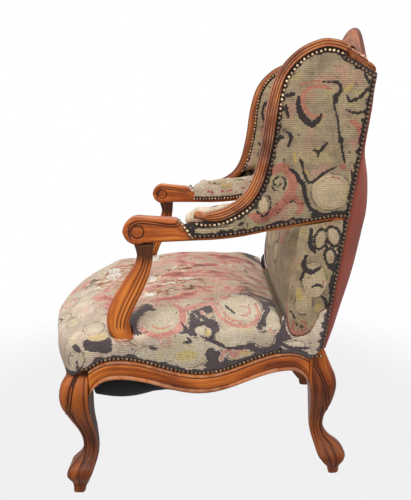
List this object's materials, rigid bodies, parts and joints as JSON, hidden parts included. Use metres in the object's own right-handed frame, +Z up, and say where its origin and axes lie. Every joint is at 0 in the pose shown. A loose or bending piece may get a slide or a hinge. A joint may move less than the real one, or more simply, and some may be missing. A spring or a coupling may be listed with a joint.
{
  "type": "confessional wing armchair",
  "caption": "Wing armchair with a carved cabriole frame, scrolled arms, reeded wing rails, arched crest, sprung seat and stuffed tapestry-covered back, for one sitter.",
  "frame": {"origin": "middle of the bounding box at floor level", "axes": "+Z up, the chair faces -Y, +X is the sitter's left"},
  "size_m": [0.758, 0.8072, 1.112],
  "materials": {
    "carved_wood": "waxed, worn",
    "plain_wood": "raw",
    "tapestry": "needlepoint",
    "rust_cloth": "woven",
    "black_cloth": "woven",
    "jute_webbing": "woven",
    "canvas": "woven",
    "spring_steel": "drawn wire"
  },
  "bodies": {
    "root": {"front_leg_left": "carved_wood", "front_leg_right": "carved_wood", "back_post_left": "carved_wood", "back_post_right": "carved_wood", "side_rail_left": "carved_wood", "side_rail_right": "carved_wood", "front_rail": "carved_wood", "back_rail": "plain_wood", "lower_back_rail": "plain_wood", "corner_block_front_left": "plain_wood", "corner_block_front_right": "plain_wood", "corner_block_back_left": "plain_wood", "corner_block_back_right": "plain_wood", "arm_post_left": "carved_wood", "arm_post_right": "carved_wood", "arm_left": "carved_wood", "arm_right": "carved_wood", "wing_rail_left": "carved_wood", "wing_rail_right": "carved_wood", "crest_rail": "carved_wood", "seat_strap_long_1": "jute_webbing", "seat_strap_long_2": "jute_webbing", "seat_strap_long_3": "jute_webbing", "seat_strap_long_4": "jute_webbing", "seat_strap_long_5": "jute_webbing", "seat_strap_cross_1": "jute_webbing", "seat_strap_cross_2": "jute_webbing", "seat_strap_cross_3": "jute_webbing", "seat_strap_cross_4": "jute_webbing", "seat_strap_cross_5": "jute_webbing", "back_strap_1": "jute_webbing", "back_strap_2": "jute_webbing", "back_strap_3": "jute_webbing", "seat_spring_1": "spring_steel", "seat_spring_2": "spring_steel", "seat_spring_3": "spring_steel", "seat_spring_4": "spring_steel", "seat_spring_5": "spring_steel", "seat_spring_6": "spring_steel", "seat_spring_7": "spring_steel", "seat_spring_8": "spring_steel", "seat_spring_9": "spring_steel", "spring_canvas": "canvas", "seat_cushion": "tapestry", "back_cushion": "tapestry", "arm_pad_left": "tapestry", "arm_pad_right": "tapestry", "wing_inside_left": "tapestry", "wing_inside_right": "tapestry", "wing_outside_left": "tapestry", "wing_outside_right": "tapestry", "seat_return_left": "tapestry", "seat_return_right": "tapestry", "back_side_left": "tapestry", "back_side_right": "tapestry", "outside_back": "rust_cloth", "dust_cover": "black_cloth"}
  },
  "joints": []
}
